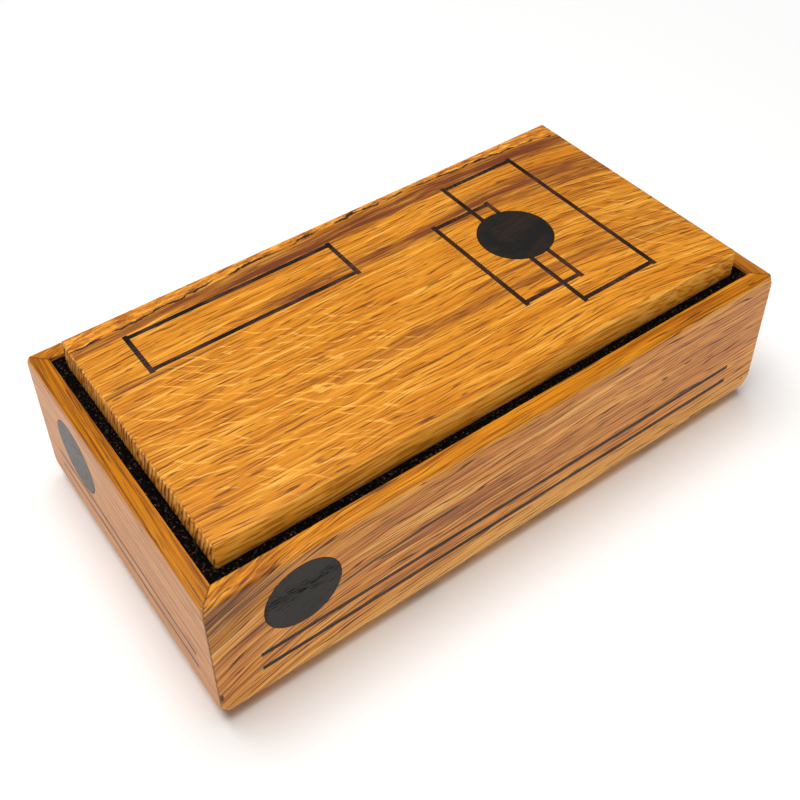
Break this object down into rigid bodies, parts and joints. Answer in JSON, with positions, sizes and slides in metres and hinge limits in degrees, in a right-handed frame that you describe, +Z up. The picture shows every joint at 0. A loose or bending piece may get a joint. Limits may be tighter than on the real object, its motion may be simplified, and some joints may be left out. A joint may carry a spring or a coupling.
{
  "type": "wooden puzzle box",
  "caption": "Mitred oak puzzle box with a lift-off lid; turning flush discs drives hidden bolts and latch tongues.",
  "frame": {"origin": "middle of the underside of the box", "axes": "+X along the length, +Y from the front to the back, +Z up"},
  "size_m": [0.2414, 0.127, 0.0734],
  "materials": {
    "wall_oak": "satin oil, browner than the lid",
    "lid_oak": "satin oil, honey colour with ray fleck",
    "bottom_oak": "satin oil",
    "wenge_string": "satin",
    "wenge_disc": "satin, open pores",
    "ebonised_wood": "matt, open pores",
    "beech": "planed, bare",
    "maple": "planed, waxed",
    "walnut": "satin",
    "brass": "turned"
  },
  "bodies": {
    "box": {"front_wall": "wall_oak", "back_wall": "wall_oak", "left_wall": "wall_oak", "right_wall": "wall_oak", "bottom_panel": "bottom_oak", "front_lines": "wenge_string", "back_lines": "wenge_string", "left_lines": "wenge_string", "right_lines": "wenge_string"},
    "lid": {"lid_panel": "lid_oak", "lid_base": "ebonised_wood", "long_figure": "wenge_string", "large_figure": "wenge_string", "small_figure": "wenge_string", "lock_bed": "beech", "left_rail": "beech", "right_rail": "beech", "front_spacer": "beech", "back_spacer": "beech", "lock_cover": "beech", "cover_screws": "brass", "front_keeper": "walnut", "left_keeper": "walnut"},
    "lid_knob": {"lid_disc": "wenge_disc", "lid_spindle": "walnut", "lid_pinion": "maple"},
    "front_bolt": {"front_bolt": "maple"},
    "back_bolt": {"back_bolt": "maple"},
    "front_knob": {"front_disc": "wenge_disc", "front_spindle": "walnut", "front_tongue": "walnut", "front_tongue_screw": "brass"},
    "left_knob": {"left_disc": "wenge_disc", "left_spindle": "walnut", "left_tongue": "walnut", "left_tongue_screw": "brass"}
  },
  "joints": [
    {"name": "lid_lift", "type": "slide", "parent": "box", "child": "lid", "axis": [0, 0, 1], "range_m": [0, 0.06]},
    {"name": "lid_disc_turn", "type": "hinge", "parent": "lid", "child": "lid_knob", "pos_m": [0.052, 0.003, 0.0734], "axis": [0, 0, 1], "range_deg": [0, 48.1]},
    {"name": "front_bolt_slide", "type": "slide", "parent": "lid", "child": "front_bolt", "axis": [0, -1, 0], "range_m": [0, 0.0063]},
    {"name": "back_bolt_slide", "type": "slide", "parent": "lid", "child": "back_bolt", "axis": [0, 1, 0], "range_m": [0, 0.0063]},
    {"name": "front_disc_turn", "type": "hinge", "parent": "box", "child": "front_knob", "pos_m": [-0.08765, -0.0635, 0.044], "axis": [0, 1, 0], "range_deg": [0, 90]},
    {"name": "left_disc_turn", "type": "hinge", "parent": "box", "child": "left_knob", "pos_m": [-0.12065, 0.0305, 0.0412], "axis": [1, 0, 0], "range_deg": [0, 90]}
  ],
  "couplings": [
    {"joint": "front_bolt_slide", "follows": "lid_disc_turn", "m_per_rad": 0.0075},
    {"joint": "back_bolt_slide", "follows": "lid_disc_turn", "m_per_rad": 0.0075}
  ]
}
